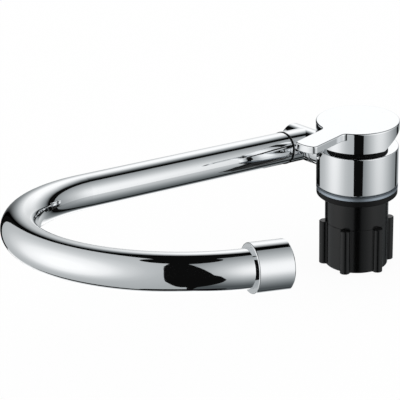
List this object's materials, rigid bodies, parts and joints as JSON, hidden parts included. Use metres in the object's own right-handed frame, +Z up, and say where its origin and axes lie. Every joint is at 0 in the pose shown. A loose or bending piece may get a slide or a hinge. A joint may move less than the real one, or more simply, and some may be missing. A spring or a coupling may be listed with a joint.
{
  "type": "folding caravan tap",
  "caption": "Folding single-lever mixer tap with a swan-neck spout that lies beside the body and swings up on a side hinge.",
  "frame": {"origin": "centre of the worktop hole, at the worktop's upper face, which the gasket's underside meets", "axes": "+Z up out of the worktop; +Y from the body towards the hinge arm; the folded spout lies towards -X"},
  "size_m": [0.2477, 0.1637, 0.0983],
  "materials": {
    "chrome": "polished chrome plate on brass",
    "black_plastic": "moulded, fine matt grain",
    "satin_plate": "satin blue-grey plate on moulded plastic",
    "rubber": "black rubber",
    "brass": "turned brass",
    "white_plastic": "natural acetal",
    "ceramic": "lapped alumina",
    "steel": "stainless steel",
    "insert_plastic": "moulded grey"
  },
  "bodies": {
    "tap_body": {"valve_body": "chrome", "valve_core": "brass", "base_ring": "satin_plate", "deck_gasket": "rubber", "mounting_shank": "black_plastic", "shank_screws": "steel", "cold_inlet_tail": "brass", "hot_inlet_tail": "brass", "inlet_seals": "rubber", "cartridge_base": "white_plastic", "port_seals": "rubber", "fixed_ceramic_disc": "ceramic", "cartridge_housing": "white_plastic", "cartridge_oring": "rubber", "cartridge_nut": "brass", "trim_ring": "black_plastic", "hinge_bolt": "chrome", "hinge_orings": "rubber", "thrust_washers": "black_plastic", "spacer_ring": "chrome", "spring_washer": "steel", "hinge_washer": "steel", "hinge_lock_nut": "steel"},
    "clamp_nut": {"clamp_nut": "black_plastic"},
    "turret": {"cartridge_turret": "white_plastic", "pivot_pin": "steel"},
    "lever": {"lever_handle": "chrome", "lever_spindle": "steel", "grub_screw": "steel"},
    "mixing_disc": {"disc_carrier": "white_plastic", "moving_ceramic_disc": "ceramic"},
    "knuckle": {"knuckle_housing": "chrome", "knuckle_end_cap": "chrome", "seam_ring": "black_plastic"},
    "spout": {"spout_tube": "chrome", "spout_spigot": "brass", "swivel_orings": "rubber", "swivel_clip": "steel", "aerator_collar": "chrome", "aerator_insert": "insert_plastic", "aerator_screen": "steel", "aerator_seal": "rubber"}
  },
  "joints": [
    {"name": "spout_fold", "type": "hinge", "parent": "tap_body", "child": "knuckle", "pos_m": [0, 0.0379, 0.0164], "axis": [0, 1, 0], "range_deg": [0, 83.4]},
    {"name": "spout_swivel", "type": "hinge", "parent": "knuckle", "child": "spout", "pos_m": [0, 0.0379, 0.0164], "axis": [-0.9934, 0, 0.1149], "continuous": true},
    {"name": "lever_turn", "type": "hinge", "parent": "tap_body", "child": "turret", "pos_m": [0, 0, 0.0235], "axis": [0, 0, 1], "range_deg": [-36, 54]},
    {"name": "lever_lift", "type": "hinge", "parent": "turret", "child": "lever", "pos_m": [0, 0, 0.0235], "axis": [-0.1219, 0.9925, 0], "range_deg": [0, 24]},
    {"name": "disc_slide", "type": "slide", "parent": "turret", "child": "mixing_disc", "axis": [-0.9925, -0.1219, 0], "range_m": [0, 0.00168]},
    {"name": "nut_travel", "type": "slide", "parent": "tap_body", "child": "clamp_nut", "axis": [0, 0, 1], "range_m": [-0.012, 0]}
  ],
  "couplings": [
    {"joint": "disc_slide", "follows": "lever_lift", "m_per_rad": 0.0039811}
  ]
}
